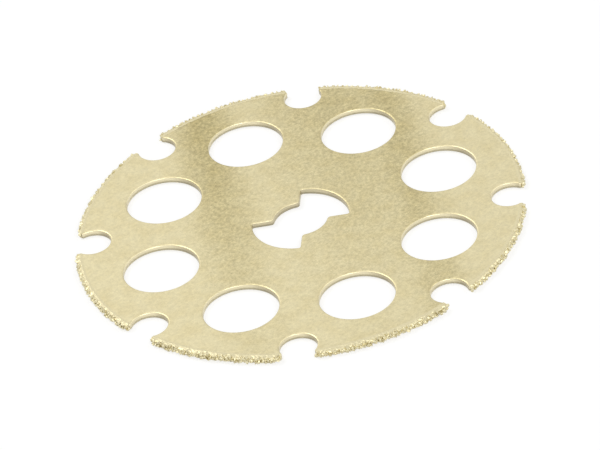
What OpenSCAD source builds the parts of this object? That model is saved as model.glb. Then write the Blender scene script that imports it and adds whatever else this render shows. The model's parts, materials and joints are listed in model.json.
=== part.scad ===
// Wood cutting wheel for a rotary tool: a thin stamped plate with relief holes,
// rim gullets and a bow-tie drive slot, and carbide grit brazed to each land of the rim.
// The wheel's axis is Z, its mid-plane is Z = 0 and the drive slot's wings point along X.

/* [Wheel] */
// Nominal diameter over the grit
wheel_d = 38.1; // [32:0.1:60]
// Thickness of the plate
plate_t = 0.5; // [0.4:0.05:1.2]
// Radius rolled by the punch onto the top edge of every cut
rolled_edge = 0.1; // [0.04:0.01:0.13]

/* [Relief holes] */
// Diameter of each relief hole
hole_d = 6.4; // [3:0.1:8]
// Width of metal between a relief hole and the plate's rim
hole_margin = 2.9; // [2.2:0.1:5]

/* [Gullets] */
// Number of gullets, and of the relief holes and the grit lands between them
gullet_count = 8; // [5:1:10]
// Diameter of the round part of a gullet
gullet_d = 3.2; // [2.8:0.1:4]
// Width of a gullet's mouth at its narrowest
mouth_w = 2.75; // [1.6:0.05:2.8]
// Radius at the two tips of a gullet's mouth
tip_r = 0.15; // [0.14:0.01:0.3]

/* [Drive slot] */
// Diameter of the slot's middle, which centres the wheel on its mandrel
neck_d = 4.6; // [3.6:0.1:5]
// Diameter over the slot's two wings
wing_d = 8.25; // [7:0.05:10]
// Angle between a wing's flank and the wing's middle
flank_angle = 41; // [30:1:46]
// Distance by which a flank's line misses the wheel's axis
flank_offset = 0.32; // [0.1:0.01:0.5]
// Radius in the outer corners of a wing
wing_corner_r = 0.2; // [0.1:0.01:0.3]
// Radius on the corners between a wing and the neck
neck_corner_r = 0.34; // [0.2:0.01:0.5]

/* [Grit] */
// Depth of the grit on the rim, outward from the plate
grit_depth = 0.3; // [0.2:0.01:0.6]
// Height by which the grit stands over each face of the plate
grit_stand = 0.07; // [0.05:0.01:0.2]
// Size of one grain, which sets the spacing of the bumps
grain = 0.3; // [0.25:0.01:0.6]
// Height of the bumps, above and below the grit's mean surface
grit_rough = 0.055; // [0.02:0.005:0.07]
// Seed of the bumps
grit_seed = 41; // [1:1:99]

/* [Colours] */
// Colour of the plate
plate_colour = "#dccfa2"; // ["#dccfa2", "#c9ccd0"]
// Colour of the brazed grit
grit_colour = "#d8c27c"; // ["#d8c27c", "#9a9a94"]

/* [Hidden] */
$fn = 96;
LANDS = [for (n = [1 : gullet_count]) str("grit_", n)];

pitch = 360 / gullet_count;
plate_r = wheel_d / 2 - grit_depth;
hole_r = hole_d / 2;
hole_x = plate_r - hole_margin - hole_r;
neck_r = neck_d / 2;
wing_r = wing_d / 2;
top_z = plate_t / 2;
base_z = -plate_t / 2;
clear = 1;                // how far a cutter runs past what it cuts
arc_step = 9;             // degrees between the points of a gullet's round
corner_step = 18;         // degrees between the points of a corner's arc
open_step = 8;            // degrees by which a corner's arc stops short of the wall it meets
edge_angles = [0, 45, 90]; // where the rolled edge has its points, from the wall to the top face

// A tip's arc touches the plate's rim and the gullet's round, both from inside the metal.
gullet_r = gullet_d / 2;
tip_y = mouth_w / 2 + tip_r;
tip_x = sqrt(pow(plate_r - tip_r, 2) - pow(tip_y, 2));
gullet_x = tip_x - sqrt(pow(gullet_r + tip_r, 2) - pow(tip_y, 2));
tip = [tip_x, tip_y];
tip_angle = atan2(tip_y, tip_x);
round_end = atan2(tip_y, tip_x - gullet_x);

// The two corners of a wing's upper flank: in the slot's corner, and in the metal beside the neck.
wing_corner = by_flank(wing_r - wing_corner_r, flank_offset - wing_corner_r);
neck_corner = by_flank(neck_r + neck_corner_r, flank_offset + neck_corner_r);
wing_corner_angle = atan2(wing_corner.y, wing_corner.x);
neck_corner_angle = atan2(neck_corner.y, neck_corner.x);

function dir(a) = [cos(a), sin(a)];

// Point at a distance r from the axis and d to the left of the flank's direction.
function by_flank(r, d) = sqrt(r * r - d * d) * dir(flank_angle) + d * dir(flank_angle + 90);

// Points on an arc of radius r about c, from angle a to angle b.
function arc(c, r, a, b, step) =
    let (count = ceil(abs(b - a) / step))
    [for (i = [0 : count]) c + r * dir(a + (b - a) * i / count)];

// Whole outline from its upper half, which starts at the greatest X.
function both_halves(upper) =
    concat([for (i = [len(upper) - 1 : -1 : 0]) [upper[i].x, -upper[i].y]], upper);

// Outline of a wing of the slot, moved outward by grow. Its inner end lies in the neck.
function wing_outline(grow) =
    both_halves(concat(
        arc([0, 0], wing_r + grow, arc_step / 4, wing_corner_angle - arc_step / 4, arc_step / 2),
        arc(wing_corner, wing_corner_r + grow, wing_corner_angle, flank_angle + 90, corner_step),
        arc(neck_corner, neck_corner_r - grow, flank_angle - 90, neck_corner_angle - 180 + open_step,
            corner_step),
        [neck_r / 2 * dir(neck_corner_angle)]));

// Outline of a gullet, moved outward by grow. Its outer end lies outside the rim.
function gullet_outline(grow) =
    let (tip_arc = arc(tip, tip_r - grow, tip_angle - open_step, round_end - 180, corner_step))
    both_halves(concat(
        [tip_arc[0] * (1 + clear / plate_r)],
        tip_arc,
        arc([gullet_x, 0], gullet_r + grow, round_end + arc_step, 180 - arc_step / 2, arc_step)));

// How far the rolled edge has moved outward, and its height, at angle a of its arc.
function edge_grow(a) = rolled_edge * (1 - cos(a));
function edge_z(a) = top_z - rolled_edge * (1 - sin(a));

// Cutter with a straight wall and a rolled top edge. Each outline belongs to one of edge_angles.
module rolled_cutter(outlines) {
    count = len(outlines[0]);
    last = len(outlines) - 1;
    levels = concat(
        [[base_z - clear, outlines[0]]],
        [for (k = [0 : last]) [edge_z(edge_angles[k]), outlines[k]]],
        [[top_z + clear, outlines[last]]]);
    points = [for (level = levels) for (p = level[1]) [p.x, p.y, level[0]]];
    walls = [for (k = [0 : len(levels) - 2]) for (i = [0 : count - 1])
        let (a = k * count + i, b = k * count + (i + 1) % count)
        each [[a, a + count, b], [b, a + count, b + count]]];
    bottom = [for (i = [0 : count - 1]) i];
    top = [for (i = [count - 1 : -1 : 0]) (len(levels) - 1) * count + i];
    polyhedron(points, concat(walls, [bottom, top]), convexity = 4);
}

// Round cutter of radius r with the same rolled top edge.
module rolled_drill(r) {
    rotate_extrude()
        polygon(concat(
            [[0, base_z - clear], [r, base_z - clear]],
            [for (a = edge_angles) [r + edge_grow(a), edge_z(a)]],
            [[r + rolled_edge, top_z + clear], [0, top_z + clear]]));
}

module blank() {
    rotate_extrude()
        polygon(concat(
            [[0, base_z], [plate_r, base_z]],
            [for (a = edge_angles) [plate_r - edge_grow(a), edge_z(a)]],
            [[0, top_z]]));
}

module drive_slot() {
    rolled_drill(neck_r);
    for (side = [0, 180])
        rotate(side)
            rolled_cutter([for (a = edge_angles) wing_outline(edge_grow(a))]);
}

module gullet() {
    rolled_cutter([for (a = edge_angles) gullet_outline(edge_grow(a))]);
}

module plate() {
    color(plate_colour)
        difference() {
            blank();
            for (n = [0 : gullet_count - 1]) {
                rotate(n * pitch)
                    gullet();
                rotate((n + 0.5) * pitch)
                    translate([hole_x, 0, 0])
                        rolled_drill(hole_r);
            }
            drive_slot();
        }
}

// Section of the grit, in order round it. The skin runs from the lip on the plate's top edge
// over the outside to the lip at its bottom edge, and the seat lies on the plate's rim.
lip_r = plate_r - 0.4 * rolled_edge;
foot_r = plate_r + 1.5 * grit_rough; // keeps the lower bumps off the plate's bottom face
shoulder_r = plate_r + 0.6 * grit_depth;
outer_r = plate_r + grit_depth;
skin = [
    [lip_r, top_z + grit_stand],
    [shoulder_r, top_z + grit_stand],
    [outer_r, 0.6 * top_z],
    [outer_r, 0],
    [outer_r, 0.6 * base_z],
    [shoulder_r, base_z - grit_stand],
    [foot_r, base_z - grit_stand],
];
seat = concat([[plate_r, base_z]], [for (a = edge_angles) [plate_r - edge_grow(a), edge_z(a)]]);

// Grit on the land between two gullets: rings of the section along the rim, with each point
// of the skin moved by its own random amount.
module grit_land(n) {
    lap = 0.6 * tip_r / plate_r * 180 / PI; // degrees that the grit reaches over the tip's arc
    land_from = (n - 1) * pitch + tip_angle - lap;
    land_angle = pitch - 2 * (tip_angle - lap);
    rings = ceil(land_angle / 180 * PI * plate_r / grain);
    step = land_angle / rings;
    outside = 1 / cos(step / 2);  // keeps the facets between rings outside the plate's round rim
    end_share = 0.6;              // depth of the first and last ring, beside that of the others
    face_share = 0.5;             // rise and fall of the bumps over the plate's two faces
    slip_share = 0.3;             // how far a bump moves along the rim, as a share of a step
    bump = rands(-1, 1, (rings + 1) * len(skin) * 3, grit_seed + n);
    count = len(skin) + len(seat);

    function skin_point(i, k) =
        let (b = 3 * (i * len(skin) + k),
             at_end = i == 0 || i == rings,
             on_face = abs(skin[k].y) > top_z,
             depth = (skin[k].x - plate_r + grit_rough * bump[b]) * (at_end ? end_share : 1),
             slip = at_end ? 0 : slip_share * step * bump[b + 1],
             rise = grit_rough * (on_face ? face_share : 1) * bump[b + 2])
        concat((plate_r + depth) * dir(land_from + i * step + slip), [skin[k].y + rise]);

    function seat_point(i, k) = concat(seat[k].x * outside * dir(land_from + i * step), [seat[k].y]);

    points = [for (i = [0 : rings]) each concat(
        [for (k = [0 : len(skin) - 1]) skin_point(i, k)],
        [for (k = [0 : len(seat) - 1]) seat_point(i, k)])];
    walls = [for (i = [0 : rings - 1]) for (k = [0 : count - 1])
        let (a = i * count + k, b = i * count + (k + 1) % count)
        each (i + k) % 2 == 0
            ? [[a, a + count, b], [b, a + count, b + count]]
            : [[a, b + count, b], [a, a + count, b + count]]];
    start = [for (k = [0 : count - 1]) k];
    finish = [for (k = [count - 1 : -1 : 0]) rings * count + k];
    color(grit_colour)
        polyhedron(points, concat(walls, [start, finish]), convexity = 6);
}

plate();
for (n = [1 : gullet_count])
    grit_land(n);
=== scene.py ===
import json
import math
import random

import bmesh
import bpy
from mathutils import Matrix, Vector


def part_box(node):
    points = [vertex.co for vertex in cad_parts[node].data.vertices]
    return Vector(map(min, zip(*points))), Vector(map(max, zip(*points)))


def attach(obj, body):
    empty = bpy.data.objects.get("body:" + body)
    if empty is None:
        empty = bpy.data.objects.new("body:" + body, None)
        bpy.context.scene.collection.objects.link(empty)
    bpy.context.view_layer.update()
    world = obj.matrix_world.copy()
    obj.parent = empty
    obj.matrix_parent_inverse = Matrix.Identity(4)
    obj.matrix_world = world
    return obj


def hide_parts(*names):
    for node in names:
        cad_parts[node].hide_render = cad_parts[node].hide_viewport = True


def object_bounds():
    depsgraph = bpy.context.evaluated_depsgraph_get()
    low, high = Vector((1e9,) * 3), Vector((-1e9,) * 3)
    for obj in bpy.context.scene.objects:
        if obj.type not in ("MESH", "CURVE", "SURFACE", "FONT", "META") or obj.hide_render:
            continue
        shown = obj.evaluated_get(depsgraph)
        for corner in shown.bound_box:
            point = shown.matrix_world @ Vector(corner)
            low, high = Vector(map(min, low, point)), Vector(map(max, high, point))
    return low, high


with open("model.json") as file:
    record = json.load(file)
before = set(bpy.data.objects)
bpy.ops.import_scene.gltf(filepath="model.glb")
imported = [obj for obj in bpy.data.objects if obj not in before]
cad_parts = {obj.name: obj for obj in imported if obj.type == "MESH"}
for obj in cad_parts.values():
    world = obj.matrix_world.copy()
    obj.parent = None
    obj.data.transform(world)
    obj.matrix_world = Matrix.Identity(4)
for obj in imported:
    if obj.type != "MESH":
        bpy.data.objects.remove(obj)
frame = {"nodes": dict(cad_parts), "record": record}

cadLow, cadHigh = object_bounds()
mm = 0.001
white = (1, 1, 1, 1)
print("frame loaded:", len(frame["nodes"]), "CAD nodes")


# Small helpers for objects and node trees

def direction(angle):
    return Vector((math.cos(math.radians(angle)), math.sin(math.radians(angle))))


def addObject(name, data):
    made = bpy.data.objects.new(name, data)
    bpy.context.scene.collection.objects.link(made)
    return made


def emptyTree(owner):
    # the node tree of a material or world, without the nodes that it starts with
    owner.use_nodes = True
    owner.node_tree.nodes.clear()
    return owner.node_tree


def addNode(tree, kind, inputs=None, **settings):
    # inputs maps a socket's name or number to a constant or to another node's output
    made = tree.nodes.new(kind)
    for name, value in settings.items():
        setattr(made, name, value)
    for key, value in (inputs or {}).items():
        if isinstance(value, bpy.types.NodeSocket):
            tree.links.new(value, made.inputs[key])
        else:
            made.inputs[key].default_value = value
    return made


def mathNode(tree, operation, *values):
    return addNode(tree, "ShaderNodeMath", dict(enumerate(values)), operation=operation).outputs[0]


def remap(tree, value, fromLow, fromHigh, toLow=0.0, toHigh=1.0, **settings):
    inputs = {"Value": value, "From Min": fromLow, "From Max": fromHigh,
              "To Min": toLow, "To Max": toHigh}
    return addNode(tree, "ShaderNodeMapRange", inputs, clamp=True, **settings).outputs[0]


fineNoise = dict(detail=2.0, roughness=0.6)    # sandy, with sharp small spots
softNoise = dict(detail=1.0, roughness=0.5)    # smooth blotches
noiseMiddle = 0.5
noiseSpan = (0.3, 0.7)                         # where most of a noise's values lie


def noise(tree, where, size, detail=2.0, roughness=0.5):
    # size is the width of one blotch, in metres
    inputs = {"Vector": where, "Scale": 1 / size, "Detail": detail, "Roughness": roughness}
    return addNode(tree, "ShaderNodeTexNoise", inputs).outputs[0]


def sway(tree, value, depth):
    # a noise's rise and fall round its middle value
    return mathNode(tree, "MULTIPLY", mathNode(tree, "SUBTRACT", value, noiseMiddle), depth)


def measuredAlong(tree, place, angle):
    # distance of a place from the wheel's axis, in the direction at this angle from X
    return addNode(tree, "ShaderNodeVectorMath", {0: place, 1: (*direction(angle), 0)},
                   operation="DOT_PRODUCT").outputs["Value"]


def attribute(tree, name):
    return addNode(tree, "ShaderNodeAttribute", attribute_name=name).outputs["Fac"]


def blendColours(tree, factor, first, second):
    return addNode(tree, "ShaderNodeMix", {0: factor, 6: first, 7: second}, data_type="RGBA").outputs[2]


def multiplyColours(tree, first, second):
    return addNode(tree, "ShaderNodeMix", {0: 1.0, 6: first, 7: second},
                   data_type="RGBA", blend_type="MULTIPLY").outputs[2]


def shade(tree, colour, factor):
    grey = addNode(tree, "ShaderNodeCombineXYZ", {0: factor, 1: factor, 2: factor})
    return multiplyColours(tree, colour, grey.outputs[0])


def addBump(tree, height, strength, distance, under=None):
    inputs = {"Height": height, "Strength": strength, "Distance": distance}
    if under is not None:
        inputs["Normal"] = under
    return addNode(tree, "ShaderNodeBump", inputs).outputs[0]


def newMaterial(name):
    material = bpy.data.materials.new(name)
    tree = emptyTree(material)
    shader = addNode(tree, "ShaderNodeBsdfPrincipled")
    addNode(tree, "ShaderNodeOutputMaterial", {"Surface": shader.outputs[0]})
    place = addNode(tree, "ShaderNodeTexCoord").outputs["Object"]
    return material, tree, shader, place


# The camera stands where the photograph was taken, with the same long lens

camera = {
    "azimuth": -38.27,           # degrees round the wheel, 0 looks along +Y
    "elevation": 35.56,
    "roll": -10.49,
    "distance": 627 * mm,
    "lens": 449.3,               # millimetres, as the sensor's width is
    "sensorWidth": 36,
    "aimRight": -0.065 * mm,     # the point that it looks at, off the wheel's centre
    "aimUp": -0.372 * mm,
    "nearest": 0.01,             # metres between which it sees anything
    "farthest": 20,
}


def lookDirections(azimuth, elevation, roll):
    a, e, r = (math.radians(v) for v in (azimuth, elevation, roll))
    back = Vector((math.sin(a) * math.cos(e), -math.cos(a) * math.cos(e), math.sin(e)))
    right = Vector((math.cos(a), math.sin(a), 0))
    up = back.cross(right)
    return right * math.cos(r) + up * math.sin(r), up * math.cos(r) - right * math.sin(r), back


def makeCamera(c):
    right, up, back = lookDirections(c["azimuth"], c["elevation"], c["roll"])
    data = bpy.data.cameras.new("camera")
    data.lens = c["lens"]
    data.sensor_width = c["sensorWidth"]
    data.clip_start, data.clip_end = c["nearest"], c["farthest"]
    made = addObject("camera", data)
    target = right * c["aimRight"] + up * c["aimUp"]
    turn = Matrix((right, up, back)).transposed().to_4x4()
    made.matrix_world = Matrix.Translation(target + back * c["distance"]) @ turn
    bpy.context.scene.camera = made


makeCamera(camera)
print("camera placed")


# Studio: a plain floor that is seen as white, soft lamps and a white surround

studio = {
    "floorSize": 3.0,
    "floorColour": (0.42, 0.42, 0.42, 1),    # grey, so that it throws little light at the walls
    "floorGlow": 0.67,           # added to the paint where the floor is seen, and the shadow stays
    "surround": 0.30,            # strength of the light from all sides
}
lamps = {
    # bearing from the camera's right in degrees, elevation, distance, size, watts
    "keyLamp": dict(bearing=138, elevation=52, distance=0.60, size=0.40, watts=1.1),
    "sideLamp": dict(bearing=8, elevation=45, distance=0.55, size=0.40, watts=0.40),
    "frontLamp": dict(bearing=-80, elevation=38, distance=0.55, size=0.40, watts=1.2),
}


def seenDirectly(tree):
    # 1 for rays that show the background: from the camera, in gloss or through glass
    path = addNode(tree, "ShaderNodeLightPath")
    seen = mathNode(tree, "MAXIMUM", path.outputs["Is Camera Ray"], path.outputs["Is Glossy Ray"])
    return mathNode(tree, "MAXIMUM", seen, path.outputs["Is Transmission Ray"])


def makeFloor(s):
    half = s["floorSize"] / 2
    corners = [(-half, -half, 0), (half, -half, 0), (half, half, 0), (-half, half, 0)]
    mesh = bpy.data.meshes.new("floor")
    mesh.from_pydata(corners, [], [(0, 1, 2, 3)])
    mesh.transform(Matrix.Translation((0, 0, cadLow.z)))
    floor = addObject("floor", mesh)
    material = bpy.data.materials.new("paleFloor")
    tree = emptyTree(material)
    paint = addNode(tree, "ShaderNodeBsdfDiffuse", {"Color": s["floorColour"]})
    strength = mathNode(tree, "MULTIPLY", seenDirectly(tree), s["floorGlow"])
    glow = addNode(tree, "ShaderNodeEmission", {"Strength": strength})
    both = addNode(tree, "ShaderNodeAddShader", {0: paint.outputs[0], 1: glow.outputs[0]})
    addNode(tree, "ShaderNodeOutputMaterial", {"Surface": both.outputs[0]})
    mesh.materials.append(material)


def makeSurround(s):
    world = bpy.data.worlds.new("surround")
    tree = emptyTree(world)
    strength = remap(tree, seenDirectly(tree), 0, 1, s["surround"], 1.0)
    light = addNode(tree, "ShaderNodeBackground", {"Color": white, "Strength": strength})
    addNode(tree, "ShaderNodeOutputWorld", {"Surface": light.outputs[0]})
    bpy.context.scene.world = world


def makeLamp(name, bearing, elevation, distance, size, watts):
    data = bpy.data.lights.new(name, "AREA")
    data.shape = "DISK"
    data.size = size
    data.energy = watts
    a = math.radians(camera["azimuth"] + bearing)
    e = math.radians(elevation)
    away = Vector((math.cos(a) * math.cos(e), math.sin(a) * math.cos(e), math.sin(e)))
    lamp = addObject(name, data)
    lamp.location = away * distance
    lamp.rotation_euler = away.to_track_quat("Z", "Y").to_euler()


makeFloor(studio)
makeSurround(studio)
for lampName, lampValues in lamps.items():
    makeLamp(lampName, **lampValues)
bpy.context.scene.view_settings.view_transform = "Standard"
print("studio lit")


# The plate's outlines, from the frame and the stamped shapes

plateNode = frame["nodes"]["plate"]
plateLow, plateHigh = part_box("plate")
openings = frame["record"]["physics"]["openings"]
mounts = {m["name"]: m for m in frame["record"]["mounts"]}


def middleOf(opening):
    low, high = opening["box_m"]
    return Vector(((low[0] + high[0]) / 2, (low[1] + high[1]) / 2))


plate = {
    "radius": max(v.co.xy.length for v in plateNode.data.vertices),
    "top": plateHigh.z,
    "bottom": plateLow.z,
    "holeRadius": 3.2 * mm,
    "holeCentres": [middleOf(o) for o in openings],
    "gullets": len(openings),
    "gulletRadius": 1.6 * mm,
    "mouthWidth": 2.75 * mm,
    "tipRadius": 0.15 * mm,      # the two tips of a gullet's mouth
    "neckRadius": mounts["drive_slot_neck"]["dims"]["r_mm"] * mm,
    "wingRadius": 4.125 * mm,
    "flankAngle": 41.0,          # degrees between a wing's flank and X
    "flankOffset": 0.32 * mm,    # how far the flank's line passes from the wheel's axis
    "wingCorner": 0.2 * mm,
    "neckCorner": 0.34 * mm,
    "rollWidth": 0.16 * mm,      # the edge that the punch rolled onto the top of every cut
    "rollHeight": 0.10 * mm,
    "edgeSteps": 5,              # faces across the rolled edge
    "slotWallShade": 0.78,            # least painted shade on the slot's walls, from 0 to 1
    "shadeFacing": -12.0,          # walls that face along this direction get the most painted shade
    "arcStep": 4.0,              # degrees between the points of a hole or a gullet's round
    "cornerStep": 16.0,          # the same at a tip or a corner
    "landStep": 1.0,             # the same along the rim
}


def angleOf(point):
    return math.degrees(math.atan2(point.y, point.x))


def arcPoints(centre, radius, start, end, step):
    count = max(1, math.ceil(abs(end - start) / step))
    turns = [start + (end - start) * i / count for i in range(count + 1)]
    return [centre + radius * direction(angle) for angle in turns]


def turned(points, angle):
    turn = Matrix.Rotation(math.radians(angle), 2)
    return [turn @ p for p in points]


def mirrored(points):
    return [Vector((p.x, -p.y)) for p in reversed(points)]


def gulletShape(p):
    # the tip's centre, the round's centre and the angle at which they meet
    tipY = p["mouthWidth"] / 2 + p["tipRadius"]
    tipX = math.sqrt((p["radius"] - p["tipRadius"]) ** 2 - tipY ** 2)
    roundX = tipX - math.sqrt((p["gulletRadius"] + p["tipRadius"]) ** 2 - tipY ** 2)
    meet = math.degrees(math.atan2(tipY, tipX - roundX))
    return Vector((tipX, tipY)), Vector((roundX, 0)), meet


def rimOutline(p, grow):
    # anticlockwise, with the metal inside it: each gullet, then the land after it
    tip, roundCentre, meet = gulletShape(p)
    tipArc = arcPoints(tip, p["tipRadius"] - grow, meet - 180, angleOf(tip), p["cornerStep"])
    roundArc = arcPoints(roundCentre, p["gulletRadius"] + grow, 180, meet, p["arcStep"])
    half = roundArc[:-1] + tipArc
    gullet = mirrored(half)[:-1] + half
    pitch = 360 / p["gullets"]
    land = arcPoints(Vector((0, 0)), p["radius"] - grow, angleOf(tip), pitch - angleOf(tip),
                     p["landStep"])[1:-1]
    outline = []
    for n in range(p["gullets"]):
        outline += turned(gullet + land, n * pitch)
    return outline


def holeOutline(p, centre, grow):
    # clockwise, because the metal is outside it
    return arcPoints(centre, p["holeRadius"] + grow, 0, -360, p["arcStep"])[:-1]


def byFlank(p, fromAxis, fromFlank):
    along = math.sqrt(fromAxis ** 2 - fromFlank ** 2)
    return along * direction(p["flankAngle"]) + fromFlank * direction(p["flankAngle"] + 90)


def slotOutline(p, grow):
    # one quarter of the bow tie, from the middle of a wing to the middle of the neck
    outer = byFlank(p, p["wingRadius"] - p["wingCorner"], p["flankOffset"] - p["wingCorner"])
    inner = byFlank(p, p["neckRadius"] + p["neckCorner"], p["flankOffset"] + p["neckCorner"])
    flank, step, cornerStep = p["flankAngle"], p["arcStep"], p["cornerStep"]
    axis = Vector((0, 0))
    quarter = arcPoints(axis, p["wingRadius"] + grow, 0, angleOf(outer), step)[:-1]
    quarter += arcPoints(outer, p["wingCorner"] + grow, angleOf(outer), flank + 90, cornerStep)
    quarter += arcPoints(inner, p["neckCorner"] - grow, flank - 90, angleOf(inner) - 180, cornerStep)
    quarter += arcPoints(axis, p["neckRadius"] + grow, angleOf(inner), 90, step)[1:]
    upper = quarter + [Vector((-q.x, q.y)) for q in reversed(quarter[:-1])]
    whole = upper + mirrored(upper)[1:-1]
    return list(reversed(whole))


def edgeLevels(p):
    # outward growth, height, and how far over the edge: 0 on the top face, 1 on the wall
    levels = [(0.0, p["bottom"], 1.0)]
    for i in range(p["edgeSteps"] + 1):
        share = i / p["edgeSteps"]
        a = math.radians(90 * share)
        grow = p["rollWidth"] * (1 - math.cos(a))
        levels.append((grow, p["top"] - p["rollHeight"] * (1 - math.sin(a)), 1 - share))
    return levels


def addWalls(bm, p, outline, levels, leastWallShade=0.0):
    # The same outline at each level, from the bottom up. The material finds at each corner how far over
    # the edge it lies, and how squarely its wall faces the direction that gets painted shade.
    fallen, paintedWallShade = (bm.loops.layers.float.get(name) for name in ("edgeFall", "wallShadeAmount"))
    shadeWay = direction(p["shadeFacing"])
    rings = [[bm.verts.new((q.x, q.y, z)) for q in outline(grow)] for grow, z, fall in levels]
    for k, (below, above) in enumerate(zip(rings, rings[1:])):
        for i in range(len(below)):
            j = (i + 1) % len(below)
            face = bm.faces.new((below[i], below[j], above[j], above[i]))
            face.smooth = True
            along = (below[j].co - below[i].co).xy.normalized()
            for corner in face.loops:
                corner[fallen] = levels[k if corner.vert in (below[i], below[j]) else k + 1][2]
                # painted shade: 1 where the wall faces along the shade direction, 0 where it runs along
                # it
                corner[paintedWallShade] = max(leastWallShade, 1 - along.dot(shadeWay) ** 2)
    return rings[0], rings[-1]


def closeFace(bm, rings):
    # a flat face between the rim, the holes and the slot
    edges = [bm.edges.get((ring[i], ring[i - 1])) for ring in rings for i in range(len(ring))]
    filled = bmesh.ops.triangle_fill(bm, use_beauty=True, use_dissolve=False, edges=edges)
    for face in filled["geom"]:
        if isinstance(face, bmesh.types.BMFace):
            face.smooth = False


def makePlate(p, material):
    bm = bmesh.new()
    bm.loops.layers.float.new("edgeFall")
    bm.loops.layers.float.new("wallShadeAmount")
    levels = edgeLevels(p)
    ends = [addWalls(bm, p, lambda grow: rimOutline(p, grow), levels),
            addWalls(bm, p, lambda grow: slotOutline(p, grow), levels, p["slotWallShade"])]
    for centre in p["holeCentres"]:
        ends.append(addWalls(bm, p, lambda grow: holeOutline(p, centre, grow), levels))
    closeFace(bm, [bottom for bottom, top in ends])
    closeFace(bm, [top for bottom, top in ends])
    bmesh.ops.recalc_face_normals(bm, faces=bm.faces)
    mesh = bpy.data.meshes.new("stampedPlate")
    bm.to_mesh(mesh)
    bm.free()
    mesh.materials.append(material)
    made = addObject("stampedPlate", mesh)
    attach(made, "root")
    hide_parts("plate")
    print("plate made:", len(mesh.polygons), "faces")


# Pale gold plating on the stamped steel, with painted shade bands across the sheet, and painted light
# and painted shade on the walls of the openings

plating = {
    "pale": (0.655, 0.588, 0.372, 1),
    "warm": (0.625, 0.550, 0.328, 1),
    "cut": (0.790, 0.715, 0.490, 1),     # burnished walls of the punched openings, paler than the plating partly as painted light for the bright floor that they reflect
    "paintedWallShade": (0.500, 0.440, 0.290, 1),    # painted shade on the walls that face along the shade direction
    "cutSpan": (0.5, 0.8),       # how far over the edge the wall's colour starts and is full
    "wallShadeSpan": (0.50, 0.95),    # the wall shade amount at which the painted shade colour starts and is full
    "speckleWidth": 0.13 * mm,
    "speckleDepth": 0.27,        # how much the sandy speckle lightens and darkens the metal
    "speckleBump": 0.35,
    "speckleHeight": 0.02 * mm,
    "mottleWidth": 0.32 * mm,    # the same for a coarser mottling
    "mottleDepth": 0.37,
    "blotchWidth": 1.4 * mm,     # width of the patches of paler and warmer plating
    "blotchBump": 0.25,
    "blotchHeight": 0.03 * mm,
    "warmSpan": (0.35, 0.75),    # values of the blotch noise at which warm starts and is full
    "roughness": 0.42,
    "roughnessSway": 0.08,       # how much the speckle changes it
    "cutRoughness": 0.37,
    # painted shade: the colour that the metal is multiplied by in the middle of the darkest band
    "paintedShadeTint": (0.720, 0.690, 0.560, 1),
    "bandAngle": 54,             # degrees from X to the direction along which the painted shade bands run
    "bandReach": 15 * mm,        # how far from the middle the far and near depths are given
    "bandWander": 1.6 * mm,      # how far a band strays to either side, in all
    "wanderWidth": 4 * mm,
    "wanderSpan": (0.2, 0.8),    # values of the wander noise at which it has strayed furthest
    "bandCoarseness": 2.1,       # how much stronger speckle and mottling are inside a painted shade band
    "paintedShadeBands": [
        # place of a painted shade band across the sheet, half its width, its depth at both ends
        dict(middle=6.2 * mm, half=4.2 * mm, near=0.20, far=1.05),
        dict(middle=-10.0 * mm, half=3.0 * mm, near=0.50, far=0.45),
        dict(middle=-5.0 * mm, half=10.0 * mm, near=0.12, far=0.72),
    ],
}


def paintedBandShade(tree, place, f):
    # painted shade: 0 on bright metal, up to 1 in the middle of the darkest band, standing in for
    # darker reflections across the sheet
    strayed = remap(tree, noise(tree, place, f["wanderWidth"]), *f["wanderSpan"], -0.5, 0.5)
    wander = mathNode(tree, "MULTIPLY", strayed, f["bandWander"])
    across = mathNode(tree, "ADD", measuredAlong(tree, place, f["bandAngle"] + 90), wander)
    along = measuredAlong(tree, place, f["bandAngle"])
    total = 0.0
    for paintedBand in f["paintedShadeBands"]:
        offset = mathNode(tree, "ABSOLUTE", mathNode(tree, "SUBTRACT", across, paintedBand["middle"]))
        depth = remap(tree, along, -f["bandReach"], f["bandReach"], paintedBand["near"], paintedBand["far"])
        inside = remap(tree, offset, 0, paintedBand["half"], 1.0, 0.0, interpolation_type="SMOOTHSTEP")
        total = mathNode(tree, "ADD", total, mathNode(tree, "MULTIPLY", inside, depth))
    return total


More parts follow.
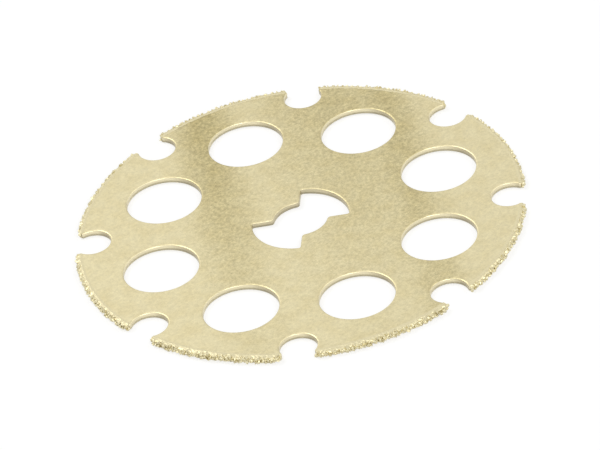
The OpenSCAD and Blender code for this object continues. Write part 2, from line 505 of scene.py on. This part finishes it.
def makePlating(f):
    material, tree, shader, place = newMaterial("palePlatingWithPaintedShade")
    speckle = noise(tree, place, f["speckleWidth"], **fineNoise)
    mottle = noise(tree, place, f["mottleWidth"], **fineNoise)
    blotch = noise(tree, place, f["blotchWidth"], **softNoise)
    tone = blendColours(tree, remap(tree, blotch, *f["warmSpan"]), f["pale"], f["warm"])
    # painted shade: soft dark bands that stand in for darker reflections across the sheet
    paintedBand = paintedBandShade(tree, place, f)
    sandy = mathNode(tree, "ADD", sway(tree, speckle, f["speckleDepth"]),
                     sway(tree, mottle, f["mottleDepth"]))
    coarser = mathNode(tree, "MULTIPLY_ADD", paintedBand, f["bandCoarseness"], 1.0)
    tone = shade(tree, tone, mathNode(tree, "MULTIPLY_ADD", sandy, coarser, 1.0))
    # the painted shade bands darken and tint the metal
    tone = multiplyColours(tree, tone, blendColours(tree, paintedBand, white, f["paintedShadeTint"]))
    cut = remap(tree, attribute(tree, "edgeFall"), *f["cutSpan"])
    # painted shade on the walls, by the direction that they face
    wallShading = remap(tree, attribute(tree, "wallShadeAmount"), *f["wallShadeSpan"])
    # walls: a burnished colour that is partly painted light, and painted shade where they face the
    # shade direction
    wall = blendColours(tree, wallShading, f["cut"], f["paintedWallShade"])
    tree.links.new(blendColours(tree, cut, tone, wall), shader.inputs["Base Color"])
    shader.inputs["Metallic"].default_value = 1.0
    rough = remap(tree, speckle, *noiseSpan, f["roughness"] + f["roughnessSway"],
                  f["roughness"] - f["roughnessSway"])
    smoother = mathNode(tree, "MULTIPLY", cut, f["cutRoughness"] - f["roughness"])
    tree.links.new(mathNode(tree, "ADD", rough, smoother), shader.inputs["Roughness"])
    fine = addBump(tree, speckle, f["speckleBump"], f["speckleHeight"])
    wavy = addBump(tree, blotch, f["blotchBump"], f["blotchHeight"], fine)
    tree.links.new(wavy, shader.inputs["Normal"])
    return material


makePlate(plate, makePlating(plating))


# Carbide grit brazed to the rim

grit = {
    # how far the braze stands out from the plate's rim, and the size of its grains, land by land
    "bedDepths": [depth * mm for depth in (0.25, 0.28, 0.23, 0.29, 0.32, 0.31, 0.25, 0.21)],
    "grainRadii": [radius * mm for radius in (0.14, 0.14, 0.17, 0.18, 0.18, 0.18, 0.18, 0.15)],
    "spacing": 0.27 * mm,        # least distance between two grains
    "seed": 7,
    "grainShapes": 5,            # different chunks, of which each grain is one
    "chipping": 0.32,            # how far a chunk's corners move, as a share of its radius
    "stretch": (0.6, 1.25),      # least and greatest stretch of a grain along each of its axes
    "ringStep": 0.20 * mm,       # length of one face of the bed along the rim
    "overlap": 0.6,              # how far the bed reaches round a gullet's tip, in tip radii
    "lip": 0.06 * mm,            # how far the braze reaches over the plate's top face
    "crest": 0.2,                # where it lies thickest there, in widths of the rolled edge
    "films": (0.002 * mm, 0.012 * mm, 0.005 * mm),    # how thick, at the lip, crest and shoulder
    "shoulder": 0.4,             # share of the depth at which it turns down from both faces
    "bevel": 0.03 * mm,          # how far its outer corners are set back
    "bevelTop": 0.72,            # their heights, as shares of half the plate's thickness
    "bevelBottom": 0.75,
    "outerFace": 0.25,           # half height of its steep outer face, as such a share
    "sunk": 0.02 * mm,           # how far its hidden side lies inside the rim
    "foot": 0.05 * mm,           # how far that side stays above the bottom face
    "head": 1.5,                 # and below the top face, in heights of the rolled edge
    "lump": 0.045 * mm,          # size of the braze's own lumps, outward
    "faceRise": (0, 0.1),        # their rise and fall on the top face, as shares of that
    "sideRise": (-0.5, 0.2),     # and on the outer side
    "endShare": 0.35,            # depth of the bed at its two ends, as a share
    "endRings": 2,               # faces over which it thins out
}


def randomValue(tree, kind, low, high, seed):
    # a number, a whole number or a vector, each part of it between low and high
    port = ("FLOAT_VECTOR", "FLOAT", "INT").index(kind)
    ends = [(low,) * 3, (high,) * 3] if kind == "FLOAT_VECTOR" else [low, high]
    return addNode(tree, "FunctionNodeRandomValue",
                   {2 * port: ends[0], 2 * port + 1: ends[1], "Seed": seed},
                   data_type=kind).outputs[port]


def addPorts(tree):
    ports = tree.interface
    ports.new_socket(name="Geometry", in_out="OUTPUT", socket_type="NodeSocketGeometry")
    ports.new_socket(name="Geometry", in_out="INPUT", socket_type="NodeSocketGeometry")
    for name in ("Grain Radius", "Spacing", "Low", "High"):
        ports.new_socket(name=name, in_out="INPUT", socket_type="NodeSocketFloat")
    ports.new_socket(name="Seed", in_out="INPUT", socket_type="NodeSocketInt")
    ports.new_socket(name="Material", in_out="INPUT", socket_type="NodeSocketMaterial")


def addChunks(tree, g):
    # small balls with their corners pushed about, to pick grains from
    chunks = addNode(tree, "GeometryNodeGeometryToInstance")
    for shape in range(g["grainShapes"]):
        ball = addNode(tree, "GeometryNodeMeshIcoSphere", {"Radius": 1.0, "Subdivisions": 1})
        push = randomValue(tree, "FLOAT_VECTOR", -g["chipping"], g["chipping"], shape)
        chunk = addNode(tree, "GeometryNodeSetPosition", {"Geometry": ball.outputs[0], "Offset": push})
        tree.links.new(chunk.outputs[0], chunks.inputs[0])
    return chunks.outputs[0]


def clampHeight(tree, geometry, low, high):
    where = addNode(tree, "GeometryNodeInputPosition")
    parts = addNode(tree, "ShaderNodeSeparateXYZ", {0: where.outputs[0]}).outputs
    height = addNode(tree, "ShaderNodeClamp", {"Value": parts[2], "Min": low, "Max": high})
    level = addNode(tree, "ShaderNodeCombineXYZ", {0: parts[0], 1: parts[1], 2: height.outputs[0]})
    return addNode(tree, "GeometryNodeSetPosition",
                   {"Geometry": geometry, "Position": level.outputs[0]}).outputs[0]


def makeGrainTree(g):
    # scatters grains on the bed's open faces and keeps them between the heights Low and High
    tree = bpy.data.node_groups.new("scatterGrains", "GeometryNodeTree")
    addPorts(tree)
    given = addNode(tree, "NodeGroupInput").outputs
    seed = given["Seed"]
    bed = addNode(tree, "GeometryNodeInputNamedAttribute", {"Name": "bed"}, data_type="BOOLEAN")
    points = addNode(tree, "GeometryNodeDistributePointsOnFaces", distribute_method="POISSON",
                     inputs={"Mesh": given["Geometry"], "Selection": bed.outputs[0],
                             "Distance Min": given["Spacing"], "Density Max": 1e9, "Seed": seed})
    stretch = randomValue(tree, "FLOAT_VECTOR", *g["stretch"], seed)
    size = addNode(tree, "ShaderNodeVectorMath", {0: stretch, "Scale": given["Grain Radius"]},
                   operation="SCALE")
    grains = addNode(tree, "GeometryNodeInstanceOnPoints",
                     {"Points": points.outputs[0], "Instance": addChunks(tree, g),
                      "Pick Instance": True,
                      "Instance Index": randomValue(tree, "INT", 0, g["grainShapes"] - 1, seed),
                      "Rotation": randomValue(tree, "FLOAT_VECTOR", 0, math.tau, seed),
                      "Scale": size.outputs[0]})
    toned = addNode(tree, "GeometryNodeStoreNamedAttribute", data_type="FLOAT", domain="INSTANCE",
                    inputs={"Geometry": grains.outputs[0], "Name": "grainTone",
                            "Value": randomValue(tree, "FLOAT", 0.0, 1.0, seed)})
    solid = addNode(tree, "GeometryNodeRealizeInstances", {0: toned.outputs[0]})
    both = addNode(tree, "GeometryNodeJoinGeometry")
    tree.links.new(solid.outputs[0], both.inputs[0])
    tree.links.new(given["Geometry"], both.inputs[0])
    trimmed = clampHeight(tree, both.outputs[0], given["Low"], given["High"])
    flat = addNode(tree, "GeometryNodeSetShadeSmooth", {"Geometry": trimmed, "Shade Smooth": False})
    dressed = addNode(tree, "GeometryNodeSetMaterial",
                      {"Geometry": flat.outputs[0], "Material": given["Material"]})
    addNode(tree, "NodeGroupOutput", {"Geometry": dressed.outputs[0]})
    return tree


def bedSection(g, p, depth):
    # radius and height of each point, from the lip round the outside to the hidden side
    rim, out = p["radius"], p["radius"] + depth
    top, bottom = p["top"], p["bottom"]
    shoulder = rim + g["shoulder"] * depth
    lipFilm, crestFilm, shoulderFilm = g["films"]
    return [
        (rim - p["rollWidth"] - g["lip"], top + lipFilm),
        (rim - g["crest"] * p["rollWidth"], top + crestFilm),
        (shoulder, top + shoulderFilm),
        (out - g["bevel"], g["bevelTop"] * top),
        (out, g["outerFace"] * top),
        (out, g["outerFace"] * bottom),
        (out - g["bevel"], g["bevelBottom"] * bottom),
        (shoulder, bottom),
        (rim - g["sunk"], bottom + g["foot"]),
        (rim - g["sunk"], top - g["head"] * p["rollHeight"]),
    ]


def makeBed(g, p, n):
    # the braze on one land: a rough band round the rim that carries the grains
    draw = random.Random(g["seed"] + n)
    rim = p["radius"]
    pitch = 360 / p["gullets"]
    tip = angleOf(gulletShape(p)[0])
    lap = math.degrees(g["overlap"] * p["tipRadius"] / rim)
    start, end = n * pitch + tip - lap, (n + 1) * pitch - tip + lap
    rings = math.ceil(math.radians(end - start) * rim / g["ringStep"])
    section = bedSection(g, p, g["bedDepths"][n])
    skin = 8                     # points of the section that are in the open
    flush = 2                    # of these, points that lie on the top face
    bm = bmesh.new()
    layer = bm.faces.layers.bool.new("bed")
    loops = []
    for i in range(rings + 1):
        at = start + (end - start) * i / rings
        fade = min(1.0, min(i, rings - i) / g["endRings"] + g["endShare"])
        loop = []
        for k, (r, z) in enumerate(section):
            if k < skin:
                r = rim + (r - rim) * (fade if r > rim else 1) + draw.uniform(-1, 1) * g["lump"]
                z += draw.uniform(*g["faceRise" if k < flush else "sideRise"]) * g["lump"]
            loop.append(bm.verts.new((*(r * direction(at)), z)))
        loops.append(loop)
    for before, after in zip(loops, loops[1:]):
        for k in range(len(section)):
            m = (k + 1) % len(section)
            face = bm.faces.new((before[k], after[k], after[m], before[m]))
            face[layer] = flush <= k < skin - 1
    for loop in (loops[0], loops[-1]):
        face = bm.faces.new(loop)
        face[layer] = True
    bmesh.ops.recalc_face_normals(bm, faces=bm.faces)
    mesh = bpy.data.meshes.new(f"braze_{n + 1}")
    bm.to_mesh(mesh)
    bm.free()
    return mesh


def setInputs(modifier, values):
    for item in modifier.node_group.interface.items_tree:
        if item.in_out == "INPUT" and item.name in values:
            modifier[item.identifier] = values[item.name]


def makeGritLand(g, p, n, tree, material):
    source = addObject("bedSource", makeBed(g, p, n))
    modifier = source.modifiers.new("grains", "NODES")
    modifier.node_group = tree
    setInputs(modifier, {"Grain Radius": g["grainRadii"][n], "Spacing": g["spacing"],
                         "Seed": g["seed"] + n, "Low": cadLow.z, "High": cadHigh.z,
                         "Material": material})
    graph = bpy.context.evaluated_depsgraph_get()
    mesh = bpy.data.meshes.new_from_object(source.evaluated_get(graph))
    bpy.data.objects.remove(source)
    name = f"carbideGrit_{n + 1}"
    mesh.name = name
    made = addObject(name, mesh)
    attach(made, "root")
    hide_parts(f"grit_{n + 1}")
    return made


carbide = {
    "braze": (0.650, 0.585, 0.375, 1),
    "glint": (0.80, 0.74, 0.50, 1),      # the palest and the darkest grains
    "body": (0.74, 0.67, 0.43, 1),
    # painted shade: dark specks that stand in for the shaded gaps between grains
    "creviceShade": (0.37, 0.30, 0.13, 1),
    "outside": (0.02 * mm, 0.10 * mm),   # how far past the rim the grains' tones start and are full
    "shoulder": 0.08 * mm,       # height under the top face over which they fade into braze
    "speckWidth": 0.15 * mm,
    "clusterWidth": 2.2 * mm,    # width of the stretches that have more painted shade specks
    "clusterShare": 0.5,
    "speckSpan": (0.87, 0.95),   # values of the two noises at which a painted shade speck starts and is full
    "speckSide": 160,            # direction in which the specks are densest, degrees from X
    "speckLean": 0.04,
    "fineWidth": 0.11 * mm,      # a fine mottling of grains and braze
    "fineShades": (0.90, 1.08),
    "fineBump": 0.4,
    "fineHeight": 0.02 * mm,
    "metallic": 0.8,             # of the grains, where the braze has 1
    "roughness": 0.42,
}


def makeCarbide(f, p):
    material, tree, shader, place = newMaterial("brazedCarbideWithPaintedShade")
    flat = addNode(tree, "ShaderNodeVectorMath", {0: place, 1: (1, 1, 0)}, operation="MULTIPLY")
    radius = addNode(tree, "ShaderNodeVectorMath", {0: flat.outputs[0]}, operation="LENGTH")
    outside = remap(tree, radius.outputs["Value"], *(p["radius"] + reach for reach in f["outside"]))
    height = mathNode(tree, "ABSOLUTE", addNode(tree, "ShaderNodeSeparateXYZ", {0: place}).outputs[2])
    under = remap(tree, height, p["top"] - f["shoulder"], p["top"], 1.0, 0.0)
    side = mathNode(tree, "MULTIPLY", outside, under)
    cluster = noise(tree, place, f["clusterWidth"], **softNoise)
    spots = mathNode(tree, "ADD", noise(tree, place, f["speckWidth"], **softNoise),
                     mathNode(tree, "MULTIPLY", cluster, f["clusterShare"]))
    towards = measuredAlong(tree, place, f["speckSide"])
    spots = mathNode(tree, "MULTIPLY_ADD", towards, f["speckLean"] / p["radius"], spots)
    # painted shade: dark specks on the grit's sides under the top face, densest towards speckSide
    creviceShade = mathNode(tree, "MULTIPLY", remap(tree, spots, *f["speckSpan"]), side)
    grain = blendColours(tree, attribute(tree, "grainTone"), f["body"], f["glint"])
    colour = blendColours(tree, side, f["braze"], grain)
    fine = noise(tree, place, f["fineWidth"], **fineNoise)
    colour = shade(tree, colour, remap(tree, fine, *noiseSpan, *f["fineShades"]))
    tree.links.new(blendColours(tree, creviceShade, colour, f["creviceShade"]), shader.inputs["Base Color"])
    tree.links.new(remap(tree, outside, 0.0, 1.0, 1.0, f["metallic"]), shader.inputs["Metallic"])
    shader.inputs["Roughness"].default_value = f["roughness"]
    tree.links.new(addBump(tree, fine, f["fineBump"], f["fineHeight"]), shader.inputs["Normal"])
    return material


grainTree = makeGrainTree(grit)
carbideMaterial = makeCarbide(carbide, plate)
lands = [makeGritLand(grit, plate, n, grainTree, carbideMaterial) for n in range(plate["gullets"])]
print("grit made:", sum(len(land.data.polygons) for land in lands), "faces on", len(lands), "lands")
